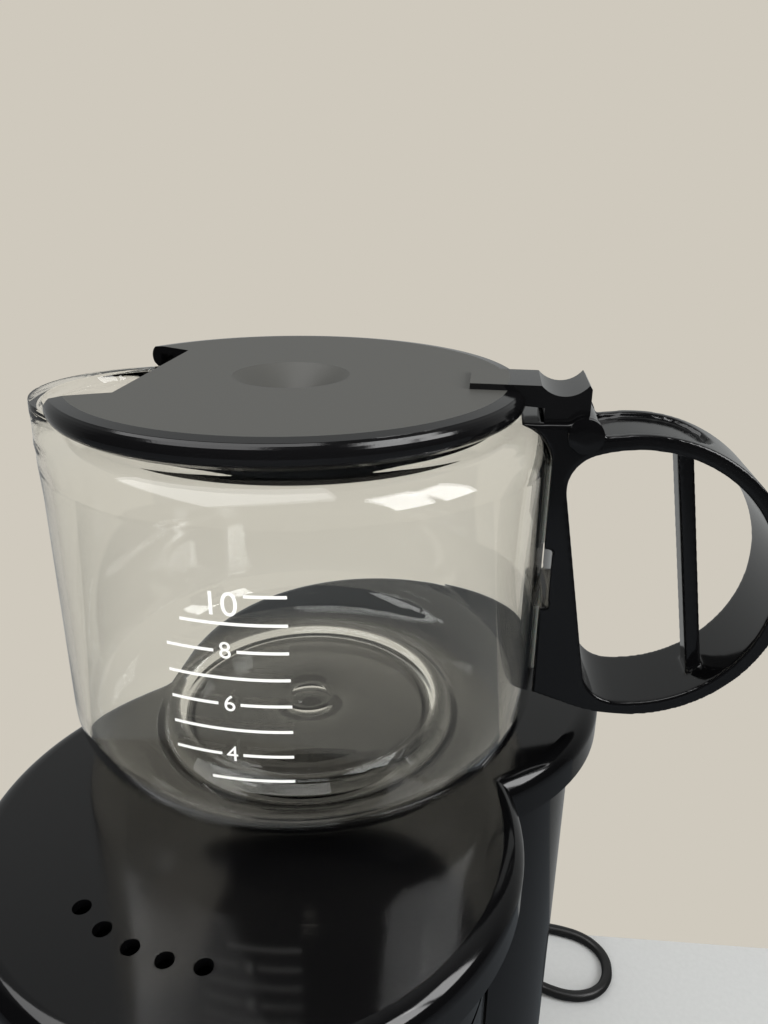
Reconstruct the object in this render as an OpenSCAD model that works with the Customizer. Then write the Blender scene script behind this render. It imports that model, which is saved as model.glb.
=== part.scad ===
// Drip coffee maker: a front brewing column and a water tower under one double-round cover.
// The glass jug stands on top of the cover, turned so that its handle points to the right.
// Origin: on the front column's axis, on the surface the machine stands on. Front is -Y, up is +Z.

/* [Columns] */
// Distance between the axes of the front column and the tower
axis_gap = 89; // [84:0.5:110]
// Outer radius of the filter holder, the upper housing and the tower
column_r = 70; // [66:0.5:74]
// Wall of the moulded housings
wall = 2.6; // [2:0.1:3.2]
// Radius of the bay that the jug stands in, from the front column's axis
bay_r = 78.5; // [77.5:0.5:84]

/* [Base] */
// Height of the base up to its deck
base_h = 38; // [32:0.5:46]
// Radius of the base under the hot plate
base_r = 76; // [74:0.5:92]
// How far the base stands out past the tower
plinth = 1.5; // [0.5:0.5:4]
// Rounding of the base's top edge
base_lip = 4; // [2:0.5:6]
// Height of the rubber foot rings
foot_h = 3; // [2:0.5:4]
// Radius of the middle of the front foot ring
foot_r_front = 43; // [40:1:46]
// Radius of the middle of the rear foot ring
foot_r_rear = 35; // [30:1:38]
// Width of the foot rings
foot_w = 6; // [4:0.5:8]
// Thickness of the bottom cover
bottom_t = 2.4; // [2:0.1:3]

/* [Hot plate] */
// Radius of the hot plate
plate_r = 61.5; // [56:0.5:64]
// Thickness of the hot plate
plate_t = 1.5; // [1:0.1:2.5]
// Thickness of the seal under the hot plate's rim
seal_t = 1; // [0.8:0.1:1.6]
// Radius of the heater's bend
heater_r = 40; // [36:1:44]
// Width of the heater's clamping flat
heater_w = 13; // [10:1:15]

/* [Filter holder] */
// Height of the swing-out filter holder
holder_h = 104; // [86:1:126]
// Free height between the jug's lid and the holder
bay_gap = 3; // [2:0.5:8]
// Gap between the holder and the upper housing
holder_gap = 2; // [1:0.5:4]
// Height of the upper housing
upper_h = 30; // [26:1:38]
// Distance of the holder's hinge pin from the front column's axis
swing_r = 75; // [74.5:0.5:78]
// Radius of the hinge pins
pin_r = 2; // [1.5:0.1:2.4]
// Radius of the filter insert's mouth
insert_r = 63; // [58:0.5:64]
// Radius of the filter insert's floor
insert_floor_r = 22; // [18:0.5:28]

/* [Cover] */
// Radius of each round of the cover
cover_r = 78; // [76:0.5:90]
// Height of the cover's rim
cover_h = 14; // [13:0.5:18]
// Rounding of the cover's top edge
cover_lip = 6; // [4:0.5:7]
// Thickness of the cover
cover_t = 2.6; // [2:0.1:3.2]
// Number of steam holes
vent_n = 5; // [3:2:7]
// Diameter of a steam hole
vent_d = 4.8; // [3:0.1:6]
// Radius of the row of steam holes
vent_row_r = 51.5; // [44:0.5:56]
// Angle between two steam holes
vent_step = 10.8; // [8:0.1:14]

/* [Tower] */
// Height of the tank's floor above the base's deck
tank_floor_h = 74; // [66:1:90]
// Radius of the tank's front wall, from the front column's axis
tank_front_r = 94; // [92:0.5:98]
// Wall of the water tank
tank_wall = 1.8; // [1.4:0.1:2.4]
// Outer radius of the riser tube
riser_r = 3.5; // [3:0.1:4]
// Sideways place of the hot and the cold water line
line_x = 21; // [18:0.5:24]

/* [Jug] */
// Outer radius of the glass
jug_r = 75; // [62:0.5:76]
// Height of the glass up to its rim
jug_h = 109.5; // [92:0.5:132]
// Thickness of the glass
glass_t = 2.2; // [1.6:0.1:3]
// Rounding between the glass's wall and its base
jug_foot_round = 20; // [14:0.5:24]
// Rounding of the shoulder
jug_shoulder = 11.5; // [8:0.5:14]
// Inner radius of the glass's mouth
mouth_r = 60.3; // [50:0.1:61]
// Reach of the pouring lip from the jug's axis
spout_reach = 84; // [80:0.5:90]
// Turn of the jug on the cover, from the machine's right towards its back
jug_turn = 19; // [0:1:40]
// Place of the jug's axis on the cover, to the right
jug_x = -12.8; // [-20:0.1:0]
// Place of the jug's axis on the cover, to the back
jug_y = 52.7; // [46:0.1:60]

/* [Jug lid] */
// Radius of the lid
lid_r = 69.4; // [56:0.1:72]
// How far the lid's centre lies towards the spout
lid_shift = 2.8; // [0:0.1:4]
// Height of the lid's top above the glass's rim
lid_rise = 6.5; // [5.5:0.1:8]
// Radius of the dimple that catches the drips
dimple_r = 17.5; // [14:0.5:22]
// Distance of the pouring notch from the jug's axis
notch_x = 45.1; // [40:0.1:50]
// Width of the pouring notch at its straight edge
notch_w = 60; // [44:1:64]
// Width of the lid's hinge tab
tab_w = 20.6; // [16:0.2:22]

/* [Jug handle] */
// Width of the handle
handle_w = 28; // [24:0.5:32]
// Outer radius of the handle's bow
bow_r = 45.4; // [38:0.2:46]
// Thickness of the handle's bow
bow_t = 4.4; // [3.6:0.1:6]
// Distance of the bow's centre from the jug's axis
bow_x = 100; // [96:0.5:106]
// Height of the bow's centre
bow_z = 60.5; // [52:0.5:64]
// Lean of the handle's grip and strut
grip_lean = 9.7; // [4:0.1:12]
// Rounding of the corners of the handle's opening
bow_corner = 11; // [5:0.5:13]
// Width of the strut across the bow
strut_w = 4.6; // [4:0.1:7]
// Depth of the strut
strut_d = 9; // [7:0.5:14]

/* [Fits] */
// Running clearance around hinge pins and the valve's stem
run_gap = 0.06; // [0.02:0.01:0.1]
// Gap between pieces that move past each other
move_gap = 0.3; // [0.25:0.05:0.6]
// Gap between pieces that are put together
seat_gap = 0.2; // [0.1:0.05:0.3]

/* [Mains lead] */
// Diameter of the mains lead
cord_d = 6.6; // [6:0.1:7]
// Height of the lead's exit above the floor
exit_z = 18; // [14:0.5:22]
// Sideways place of the lead's exit
exit_x = 18; // [10:1:24]
// Length of the strain relief outside the base
relief_l = 36; // [24:1:44]

/* [Hidden] */
$fn = 96;
eps = 0.01;

// Heights
seal_z = base_h;
plate_z = base_h + seal_t + plate_t;
lever_rise = 9;
jug_stack = jug_h + lever_rise;
holder_z = plate_z + jug_stack + bay_gap;
holder_top = holder_z + holder_h;
upper_z = holder_top + holder_gap;
deck_z = upper_z + upper_h;
top_z = deck_z + cover_h;
deck_t = 2.4;

// Plan
rear_base_r = column_r + plinth;
tank_r = column_r - wall - 3;
hole_r_plate = plate_r - 1;
crease_y = axis_gap / 2;
crease_x = sqrt(column_r * column_r - crease_y * crease_y);
swing_a = 180 - atan(crease_y / crease_x);
swing_x = swing_r * cos(swing_a);
swing_y = swing_r * sin(swing_a);
lug_r = 4.8;
lug_in = 0.5;
steam_hole_r = 4;
vents = [for (i = [0:vent_n - 1]) -90 + (i - (vent_n - 1) / 2) * vent_step];
riser_y = sqrt(pow((bay_r + wall + tank_front_r) / 2, 2) - line_x * line_x);
cold_y = axis_gap + 21;
tank_z = base_h + tank_floor_h;
line_z = 28;
bend_r = 11;
stub_r = 3.5;
hose_r = 5.5;
stub_a = 62;

// Cover hinge, behind the tower and under the cover's rim
cover_pin_y = axis_gap + column_r + 6;
cover_pin_z = deck_z - 10;
cover_lug_w = 34;
cover_arm_w = 6;

// Base fixings
screw_r = 1.5;
boss_r = 4.5;
screw_pts = [[-58, -34], [58, -34], [-50, axis_gap + 22], [50, axis_gap + 22]];

// Switch
switch_a = -48;
switch_w = 21;
switch_h = 14;
switch_z = 21;
rocker_tilt = 10;
bezel_t = 2;
pad_t = 1.6;

// Valve
stem_r = 3;
seat_r = 9;
seat_h = 7.4;
valve_z = holder_z + seat_h;
head_r = 6.5;
valve_seal_t = 1.5;
head_t = 1.8;
spring_h = 13;
spring_wire = 0.8;
spring_r = 4.6;
cage_r = 12;
cage_h = seat_h + valve_seal_t + head_t + spring_h + 2;

// Jug, in its own frame: its axis is Z, its handle points to +X
jug_z = top_z + move_gap;
lid_top = jug_h + lid_rise;
shoulder_z = jug_h - 2.2 - jug_shoulder;
shoulder_r = jug_r - jug_shoulder;
foot_flat_r = jug_r - jug_foot_round;
lid_pin_x = jug_r + 8;
lid_pin_z = jug_h - 4.5;
barrel_r = 4.7;
ear_r = 5;
tab_top = lid_top + 1.7;
hook_in = mouth_r + glass_t + 2.6;
hook_z = jug_h - 1.9;
bond_t = 0.6;
bond_w = 22;
bond_low = 28;
bond_high = 71;
dish_d = 1.6;
dish_x = bow_x + 9;

// Mains lead: hand-chosen points on its way from the strain relief to the coil
coil_r = 38;
coil_x = -62;
coil_y = 214;
cord_r = cord_d / 2;
gland_y = axis_gap + sqrt(rear_base_r * rear_base_r - exit_x * exit_x);
cord_pts = [[18, 194, 18], [18.5, 203, 17], [21, 212, 14.5], [26, 220, 11.5], [33, 226, 8.5],
    [42, 229.5, 5.5], [52, 231, 3.8], [61, 233, 3.3], [70, 237.5, 3.3], [76.5, 244.5, 3.3],
    [79.5, 253.5, 3.3], [78.5, 263, 3.3], [74, 271.5, 3.3], [66.5, 277, 3.3], [57, 279.5, 3.3],
    [46, 279, 3.3], [34, 276.5, 3.3], [21, 273, 3.3], [8, 269.5, 3.3], [-5, 266.5, 3.3],
    [-18, 263.5, 3.3], [-31, 260.5, 3.3], [-44, 257.5, 3.3], [-56, 255.4, 3.3]];

// ---- shared shapes ----

// The double-round plan of the machine
module two_rounds(front_r, rear_r) {
    circle(front_r);
    translate([0, axis_gap]) circle(rear_r);
}

// The tower's plan: the rear round, cut back by the jug's bay
module crescent(rear_r, front_r) {
    difference() {
        translate([0, axis_gap]) circle(rear_r);
        circle(front_r);
    }
}

// A disc whose top edge is rounded
module cap(r, h, lip) {
    cylinder(r = r, h = h - lip);
    cylinder(r = r - lip, h = h);
    translate([0, 0, h - lip]) rotate_extrude() translate([r - lip, 0]) circle(lip, $fn = 48);
}

module ring(r_in, r_out, h) {
    rotate_extrude() translate([r_in, 0]) square([r_out - r_in, h]);
}

module at_rear() {
    translate([0, axis_gap, 0]) children();
}

// A rod along Y
module rod_y(r, l) {
    rotate([-90, 0, 0]) cylinder(r = r, h = l);
}

// A hose that runs along +Y and then turns up: start point, run to the bend's end, top height
module hose(x, y0, y1, z_top, r_out, r_in) {
    difference() {
        hose_body(x, y0, y1, z_top, r_out, 0);
        hose_body(x, y0, y1, z_top, r_in, eps);
    }
}

module hose_body(x, y0, y1, z_top, r, over) {
    translate([x, y0 - over, line_z]) rod_y(r, y1 - bend_r - y0 + over);
    translate([x, y1 - bend_r, line_z + bend_r]) rotate([0, 90, 0]) rotate([0, 0, 0])
        rotate_extrude(angle = 90) translate([bend_r, 0]) circle(r, $fn = 48);
    translate([x, y1, line_z + bend_r]) cylinder(r = r, h = z_top - line_z - bend_r + over);
}

function unit(v) = v / norm(v);

function arc(cx, cy, r, a0, a1, n) =
    [for (i = [0:n]) [cx + r * cos(a0 + (a1 - a0) * i / n), cy + r * sin(a0 + (a1 - a0) * i / n)]];

// Direction of a path at point i
function path_dir(p, i) = unit(p[min(i + 1, len(p) - 1)] - p[max(i - 1, 0)]);

function path_ring(c, d, r, n) =
    let (u = unit(cross(d, [0, 0, 1])), v = cross(u, d))
    [for (k = [0:n - 1]) c + r * (cos(360 * k / n) * u + sin(360 * k / n) * v)];

// A round tube along points that never run straight up
module tube(p, r, n) {
    m = len(p);
    pts = [for (i = [0:m - 1]) each path_ring(p[i], path_dir(p, i), r, n)];
    sides = [for (i = [0:m - 2]) for (k = [0:n - 1])
        [i * n + k, (i + 1) * n + k, (i + 1) * n + (k + 1) % n, i * n + (k + 1) % n]];
    polyhedron(pts, concat([[for (k = [0:n - 1]) k]], sides,
        [[for (k = [0:n - 1]) m * n - 1 - k]]), convexity = 8);
}

module at_jug() {
    translate([jug_x, jug_y, jug_z]) rotate([0, 0, jug_turn]) children();
}

// A plate in the handle's plane, from y0 to y1
module slab(y0, y1) {
    translate([0, y1, 0]) rotate([90, 0, 0]) linear_extrude(y1 - y0) children();
}

// ---- base ----

module foot_ring_front() {
    color("#2b2b2b") ring(foot_r_front - foot_w / 2, foot_r_front + foot_w / 2, foot_h);
}

module foot_ring_rear() {
    color("#2b2b2b") at_rear() ring(foot_r_rear - foot_w / 2, foot_r_rear + foot_w / 2, foot_h);
}

module bottom_cover() {
    color("#1b1b1c") difference() {
        translate([0, 0, foot_h]) linear_extrude(bottom_t)
            two_rounds(base_r - wall - seat_gap, rear_base_r - wall - seat_gap);
        for (p = screw_pts) translate([p.x, p.y, foot_h - eps]) {
            cylinder(r = screw_r + 0.3, h = bottom_t + 1);
            cylinder(r = 3.2, h = 1.2 + eps);
        }
        for (i = [-3:3]) translate([i * 7 - 1.2, -32, foot_h - 1]) cube([2.4, 22, bottom_t + 2]);
    }
}

module base_screws() {
    color("#8d8f93") for (p = screw_pts) translate([p.x, p.y, foot_h]) {
        cylinder(r = 2.9, h = 1.2);
        cylinder(r = screw_r - 0.05, h = 12);
    }
}

module base_outside() {
    translate([0, 0, foot_h]) cap(base_r, base_h - foot_h, base_lip);
    translate([0, axis_gap, foot_h]) cylinder(r = rear_base_r, h = base_h - foot_h);
    // flat pad that the switch sits on
    rotate([0, 0, switch_a]) translate([base_r - 8, -switch_w / 2 - 4, switch_z - switch_h / 2 - 3])
        cube([8 + pad_t, switch_w + 8, switch_h + 6]);
}

module base_housing() {
    color("#141415") difference() {
        union() {
            difference() {
                base_outside();
                translate([0, 0, foot_h - eps]) linear_extrude(base_h - foot_h - deck_t)
                    two_rounds(base_r - wall, rear_base_r - wall);
            }
            for (p = screw_pts) translate([p.x, p.y, foot_h + bottom_t])
                cylinder(r = boss_r, h = base_h - foot_h - bottom_t - 1);
        }
        for (p = screw_pts) translate([p.x, p.y, foot_h]) cylinder(r = screw_r, h = 14);
        // hot plate's seat
        translate([0, 0, base_h - 12]) cylinder(r = hole_r_plate, h = 20);
        // way up into the tower
        translate([0, 0, base_h - 12]) linear_extrude(20)
            crescent(column_r - wall - 1.5, bay_r + wall + 0.2);
        // switch and lead
        switch_place() translate([-26, -switch_w / 2, -switch_h / 2])
            cube([40, switch_w, switch_h]);
        lens_place() translate([-6, 0, 0]) rotate([0, 90, 0]) cylinder(r = lens_r + 0.15, h = 12);
        translate([exit_x, gland_y - 12, exit_z]) rod_y(gland_r + 0.05, 24);
    }
}

// ---- hot plate and heater ----

module hot_plate() {
    skirt_r = hole_r_plate - 1;
    color("#1c1c1e") translate([0, 0, base_h + seal_t]) {
        cap(plate_r, plate_t, 0.7);
        translate([0, 0, -4.6]) ring(skirt_r - 1.5, skirt_r, 4.6 + eps);
        translate([0, 0, -18]) cylinder(r = 2.5, h = 18 + eps);
    }
}

module plate_seal() {
    color("#3a3a3c") translate([0, 0, seal_z]) rotate_extrude() {
        translate([hole_r_plate - 1 + eps, 0]) square([2.6, seal_t]);
        translate([hole_r_plate - 1 + eps, -4]) square([1 - 2 * eps, 4 + eps]);
    }
}

heater_top = base_h + seal_t;
heater_low = heater_top - 16;

module heater() {
    color("#b9bcc0") difference() {
        union() {
            rotate([0, 0, 90 + 90 - stub_a]) rotate_extrude(angle = 360 - 2 * (90 - stub_a)) {
                translate([heater_r - heater_w / 2, heater_top - 7]) square([heater_w, 7]);
                translate([heater_r, heater_low + 5]) circle(5, $fn = 48);
                translate([heater_r - 2, heater_low + 5]) square([4, 6]);
            }
            for (s = [-1, 1]) translate([s * line_x, heater_r * sin(stub_a), line_z])
                rod_y(stub_r - seat_gap / 2, 16);
        }
        for (s = [-1, 1]) translate([s * line_x, heater_r * sin(stub_a) + 2, line_z])
            rod_y(2.4, 20);
    }
}

module heater_strap() {
    color("#9fa3a8") difference() {
        translate([-heater_r - 6, -7, heater_low - 1.5]) cube([2 * heater_r + 12, 14, 1.5]);
        translate([0, 0, heater_low - 3]) cylinder(r = 2.5 + seat_gap, h = 6);
    }
}

module strap_nut() {
    color("#8d8f93") translate([0, 0, heater_low - 1.5 - 3]) difference() {
        cylinder(r = 5, h = 3, $fn = 6);
        translate([0, 0, -1]) cylinder(r = 2.5, h = 5);
    }
}

module thermostat() {
    color("#c9c4b8") translate([0, -22, heater_top]) mirror([0, 0, 1]) {
        cylinder(r = 8, h = 6);
        cylinder(r = 5.5, h = 10);
        for (s = [-1, 1]) translate([s * 3 - 0.4, -2, 9]) cube([0.8, 4, 6]);
    }
}

module thermal_fuse() {
    fuse_r = 2.4;
    color("#e8e4da") rotate([0, 0, -35]) translate([heater_r, -11, heater_low - fuse_r])
        rod_y(fuse_r, 22);
}

module inlet_hose() {
    y0 = heater_r * sin(stub_a) + 6;
    color("#d8d8d4") hose(-line_x, y0, cold_y, tank_z - 24, hose_r, stub_r);
}

module check_valve() {
    color("#e6e6e0") translate([-line_x, cold_y, tank_z]) {
        translate([0, 0, -11]) cylinder(r = 4 - seat_gap / 2, h = 10);
        translate([0, 0, -23]) cylinder(r = 7, h = 12 + eps);
        translate([0, 0, -34]) cylinder(r = stub_r - seat_gap / 2, h = 11 + eps);
    }
}

module outlet_hose() {
    y0 = heater_r * sin(stub_a) + 6;
    color("#d8d8d4") hose(line_x, y0, riser_y, tank_z - 34, hose_r, stub_r);
}

// ---- tower ----

module riser_tube() {
    z0 = tank_z - 44;
    color("#e9e6da") difference() {
        translate([line_x, riser_y, z0]) cylinder(r = riser_r - seat_gap / 2, h = deck_z + 6 - z0);
        translate([line_x, riser_y, z0 - 1]) cylinder(r = riser_r - 1.1, h = deck_z - z0 + 12);
    }
}

window_w = 9;
window_z = tank_z + 12;
window_h = 128;

module tower_housing() {
    color("#101011") difference() {
        union() {
            translate([0, 0, base_h]) linear_extrude(upper_z - base_h) difference() {
                crescent(column_r, bay_r);
                crescent(column_r - wall, bay_r + wall);
            }
            translate([swing_x, swing_y, holder_z - 12])
                cylinder(r = lug_r, h = 12 + lug_in - move_gap);
        }
        // the pin's lower bore and room for the holder's lugs
        translate([swing_x, swing_y, holder_z - 8]) cylinder(r = pin_r, h = 10);
        translate([swing_x, swing_y, holder_z + lug_in - move_gap])
            cylinder(r = lug_r + 0.6, h = upper_z - holder_z + 1);
        translate([-column_r - 2, axis_gap - window_w / 2, window_z])
            cube([10, window_w, window_h]);
        // keep the lug out of the hollow
        translate([0, 0, holder_z - 20]) linear_extrude(20) crescent(column_r - wall, bay_r + wall);
    }
}

module level_window() {
    color([0.8, 0.85, 0.85, 0.5]) intersection() {
        translate([-column_r - 2, axis_gap - window_w / 2 + seat_gap, window_z + seat_gap])
            cube([10, window_w - 2 * seat_gap, window_h - 2 * seat_gap]);
        translate([0, axis_gap, window_z]) ring(column_r - wall, column_r, window_h);
    }
}

module water_tank() {
    color([0.85, 0.87, 0.86, 0.6]) difference() {
        union() {
            translate([0, 0, tank_z]) linear_extrude(deck_z + seat_gap + 1.5 - tank_z)
                crescent(tank_r, tank_front_r);
            translate([0, 0, deck_z + seat_gap]) linear_extrude(1.5)
                crescent(tank_r + 2, tank_front_r - 2);
            translate([-line_x, cold_y, tank_z - 10]) cylinder(r = 6, h = 11);
        }
        translate([0, 0, tank_z + tank_wall]) linear_extrude(upper_h + deck_z)
            crescent(tank_r - tank_wall, tank_front_r + tank_wall);
        translate([-line_x, cold_y, tank_z - 12]) cylinder(r = 4, h = 20);
    }
}

module upper_housing() {
    color("#121213") difference() {
        union() {
            translate([0, 0, upper_z]) linear_extrude(upper_h) difference() {
                two_rounds(column_r, column_r);
                two_rounds(column_r - wall, column_r - wall);
            }
            translate([0, 0, deck_z - deck_t]) linear_extrude(deck_t)
                two_rounds(column_r - 1, column_r - 1);
            // wall between the filter and the tank
            translate([0, 0, upper_z]) linear_extrude(upper_h - 1) intersection() {
                difference() {
                    circle(bay_r + wall);
                    circle(bay_r);
                }
                at_rear() circle(column_r - 1);
            }
            translate([swing_x, swing_y, upper_z]) cylinder(r = lug_r, h = 10);
            // lug for the cover's pin
            translate([-cover_lug_w / 2, cover_pin_y, cover_pin_z]) rotate([0, 90, 0])
                cylinder(r = 5, h = cover_lug_w);
            translate([-cover_lug_w / 2, cover_pin_y - 12, cover_pin_z - 5])
                cube([cover_lug_w, 12, 10]);
        }
        // keep the lug's root out of the tank's room
        translate([0, 0, upper_z]) linear_extrude(upper_h - deck_t)
            crescent(column_r - wall, bay_r + wall);
        translate([-cover_lug_w, cover_pin_y, cover_pin_z]) rotate([0, 90, 0])
            cylinder(r = pin_r, h = 2 * cover_lug_w);
        translate([swing_x, swing_y, upper_z - 1]) cylinder(r = pin_r, h = 9);
        translate([0, 0, deck_z - 9]) linear_extrude(20)
            crescent(tank_r + seat_gap, tank_front_r - seat_gap);
        translate([line_x, riser_y, deck_z - 5]) cylinder(r = riser_r + seat_gap, h = 10);
        translate([0, 0, deck_z - 5]) cylinder(r = 5 + seat_gap, h = 10);
        for (a = vents) rotate([0, 0, a]) translate([vent_row_r, 0, deck_z - 5])
            cylinder(r = steam_hole_r, h = 10);
    }
}

module outlet_arm() {
    arm_z = deck_z + 4.6;
    reach = norm([line_x, riser_y]);
    color("#d9d6ca") difference() {
        union() {
            rotate([0, 0, -atan(line_x / riser_y)]) translate([0, 0, arm_z]) rod_y(4, reach);
            translate([line_x, riser_y, deck_z + seat_gap]) cylinder(r = 4.2, h = 8);
            translate([0, 0, deck_z + seat_gap]) cylinder(r = 7, h = 9);
            translate([0, 0, upper_z + 8]) cylinder(r = 5, h = upper_h);
        }
        rotate([0, 0, -atan(line_x / riser_y)]) translate([0, 0, arm_z]) rod_y(2.4, reach);
        translate([line_x, riser_y, deck_z - 1]) cylinder(r = riser_r, h = 7.2);
        translate([0, 0, upper_z - 1]) cylinder(r = 3, h = upper_h + 5.6);
    }
}

module water_spreader() {
    color("#dcdad0") translate([0, 0, upper_z + 2]) difference() {
        union() {
            cylinder(r = 30, h = 2);
            ring(28, 30, 5);
            ring(5 + seat_gap / 2, 8, 14);
        }
        for (k = [0:2]) for (i = [0:7]) rotate([0, 0, i * 45 + k * 22.5])
            translate([12 + k * 6, 0, -1]) cylinder(r = 1.2, h = 4, $fn = 24);
    }
}

// ---- cover ----

module cover_pin() {
    l = cover_lug_w + 2 * cover_arm_w;
    color("#b5b8bc") translate([-l / 2, cover_pin_y, cover_pin_z]) rotate([0, 90, 0])
        cylinder(r = pin_r, h = l);
}

module top_cover() {
    lift = deck_z + move_gap;
    arm_x = cover_lug_w / 2 + move_gap;
    color("#0d0d0e") difference() {
        union() {
            difference() {
                translate([0, 0, deck_z]) {
                    cap(cover_r, cover_h, cover_lip);
                    at_rear() cap(cover_r, cover_h, cover_lip);
                }
                translate([0, 0, deck_z - eps]) {
                    linear_extrude(cover_h - cover_lip + 1)
                        two_rounds(cover_r - cover_t, cover_r - cover_t);
                    linear_extrude(cover_h - cover_t)
                        two_rounds(cover_r - cover_t - 3, cover_r - cover_t - 3);
                }
            }
            // rib that seats on the upper housing
            translate([0, 0, lift]) linear_extrude(top_z - lift - 1) difference() {
                two_rounds(column_r - 1, column_r - 1);
                two_rounds(column_r - 3, column_r - 3);
            }
            for (s = [0, 1]) mirror([s, 0, 0]) {
                translate([arm_x, cover_pin_y, cover_pin_z]) rotate([0, 90, 0])
                    cylinder(r = 5, h = cover_arm_w);
                translate([arm_x, cover_pin_y - 5, cover_pin_z])
                    cube([cover_arm_w, 6, cover_h + 4]);
            }
        }
        for (a = vents) rotate([0, 0, a]) translate([vent_row_r, 0, deck_z])
            cylinder(d = vent_d, h = cover_h + 2);
        translate([-cover_lug_w, cover_pin_y, cover_pin_z]) rotate([0, 90, 0])
            cylinder(r = pin_r + run_gap, h = 2 * cover_lug_w);
    }
}

// ---- filter holder ----

module holder_pin() {
    color("#b5b8bc") translate([swing_x, swing_y, holder_z - 8])
        cylinder(r = pin_r, h = upper_z - holder_z + 16);
}

module filter_holder() {
    lug_h = 14;
    ledge = 3;
    pull_h = 52;
    color("#141415") difference() {
        union() {
            difference() {
                union() {
                    translate([0, 0, holder_z]) cylinder(r = column_r, h = holder_h);
                    for (z = [holder_z + lug_in, holder_top - lug_h - lug_in]) translate([0, 0, z]) {
                        translate([swing_x, swing_y, 0]) rotate([0, 0, swing_a])
                            cylinder(r = lug_r, h = lug_h);
                        rotate([0, 0, swing_a]) translate([column_r - 2, -3.5, 0])
                            cube([swing_r - column_r + 2, 7, lug_h]);
                    }
                    // pull at the front
                    translate([-7, -column_r - 12, holder_z + 24]) cube([14, 14, pull_h]);
                    translate([0, -column_r - 12, holder_z + 24]) cylinder(r = 7, h = pull_h);
                }
                translate([0, 0, holder_z + wall]) cylinder(r = column_r - wall, h = holder_h);
            }
            translate([0, 0, holder_z + 1]) cylinder(r = seat_r, h = seat_h - 1);
            translate([0, 0, holder_top - 8]) ring(column_r - wall - ledge, column_r - 1, 4);
        }
        translate([0, 0, holder_z - 1]) cylinder(r = stem_r + run_gap, h = seat_h + 2);
        translate([swing_x, swing_y, holder_z - 1]) cylinder(r = pin_r + run_gap, h = holder_h + 2);
        for (i = [0:3]) rotate([0, 0, 45 + 90 * i]) translate([6.1, 0, holder_z - 1])
            cylinder(r = 1.5, h = seat_h + 2, $fn = 24);
    }
}

insert_top = holder_top - 4;
insert_z = holder_z + cage_h + 6;

module filter_insert() {
    t = 1.8;
    h = insert_top - insert_z;
    color("#cfccc2") difference() {
        union() {
            translate([0, 0, insert_z]) cylinder(r1 = insert_floor_r, r2 = insert_r, h = h);
            translate([0, 0, insert_top]) cylinder(r = column_r - wall - 0.5, h = 2);
        }
        translate([0, 0, insert_z + t])
            cylinder(r1 = insert_floor_r - t, r2 = insert_r - t, h = h - t + eps);
        translate([0, 0, insert_top - eps]) cylinder(r = insert_r - t, h = 4);
        for (i = [0:5]) rotate([0, 0, i * 60]) translate([11, 0, insert_z - 1])
            cylinder(r = 2.5, h = t + 2, $fn = 24);
    }
}

module valve_cage() {
    color("#d9d6ca") translate([0, 0, holder_z + wall]) difference() {
        union() {
            ring(cage_r - 1.6, cage_r, cage_h - wall);
            translate([0, 0, cage_h - wall - 2]) cylinder(r = cage_r, h = 2);
        }
        for (i = [0:3]) rotate([0, 0, 90 * i]) translate([5, -4, 1])
            cube([cage_r, 8, cage_h - wall - 5]);
        translate([0, 0, cage_h - wall - 3]) cylinder(r = 2 + run_gap, h = 4);
    }
}

valve_head_z = valve_z + move_gap + valve_seal_t;

module valve_stem() {
    color("#d9d6ca") {
        translate([0, 0, holder_z - 6]) cylinder(r = stem_r, h = valve_head_z - holder_z + 6 + eps);
        translate([0, 0, valve_head_z]) cylinder(r = head_r, h = head_t);
        translate([0, 0, valve_head_z + head_t - eps]) cylinder(r = 2, h = spring_h + 1);
    }
}

module valve_seal() {
    color("#b24a3a") translate([0, 0, valve_z + move_gap]) ring(stem_r, head_r, valve_seal_t);
}

module valve_spring() {
    turns = 5;
    per_turn = 12;
    z0 = valve_head_z + head_t + spring_wire / 2 + 0.1;
    h = holder_z + cage_h - 2 - spring_wire / 2 - 0.1 - z0;
    steps = turns * per_turn;
    color("#b5b8bc") tube([for (i = [0:steps]) [spring_r * cos(360 * i / per_turn),
        spring_r * sin(360 * i / per_turn), z0 + h * i / steps]], spring_wire / 2, 6);
}

// ---- switch and electrics ----

lens_r = 3;

module switch_place() {
    rotate([0, 0, switch_a]) translate([base_r + pad_t, 0, switch_z]) children();
}

module lens_place() {
    rotate([0, 0, switch_a - 17]) translate([base_r, 0, switch_z]) children();
}

rocker_r = 9;
rocker_w = 12;
rocker_pivot = -4;

module switch_body() {
    color("#18181a") switch_place() difference() {
        union() {
            translate([-24, -switch_w / 2 + seat_gap, -switch_h / 2 + seat_gap])
                cube([24, switch_w - 2 * seat_gap, switch_h - 2 * seat_gap]);
            translate([0, -switch_w / 2 - 2, -switch_h / 2 - 2])
                cube([bezel_t, switch_w + 4, switch_h + 4]);
            for (s = [-1, 0, 1]) translate([-31, s * 6 - 2.4, -0.4]) cube([8, 4.8, 0.8]);
        }
        translate([rocker_pivot, 0, -rocker_w / 2 - 0.4]) cylinder(r = rocker_r + 0.5, h = rocker_w + 0.8);
        translate([rocker_pivot, -rocker_r - 0.5, -rocker_w / 2 - 0.4])
            cube([20, 2 * rocker_r + 1, rocker_w + 0.8]);
    }
}

module switch_rocker() {
    color("#8f1d16") switch_place() translate([rocker_pivot, 0, -rocker_w / 2])
        rotate([0, 0, -rocker_tilt]) difference() {
            intersection() {
                cylinder(r = rocker_r, h = rocker_w);
                translate([-6, -rocker_r, 0]) cube([14, 2 * rocker_r, rocker_w]);
            }
            translate([26.5, 0, -1]) cylinder(r = 20, h = rocker_w + 2);
        }
}

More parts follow.
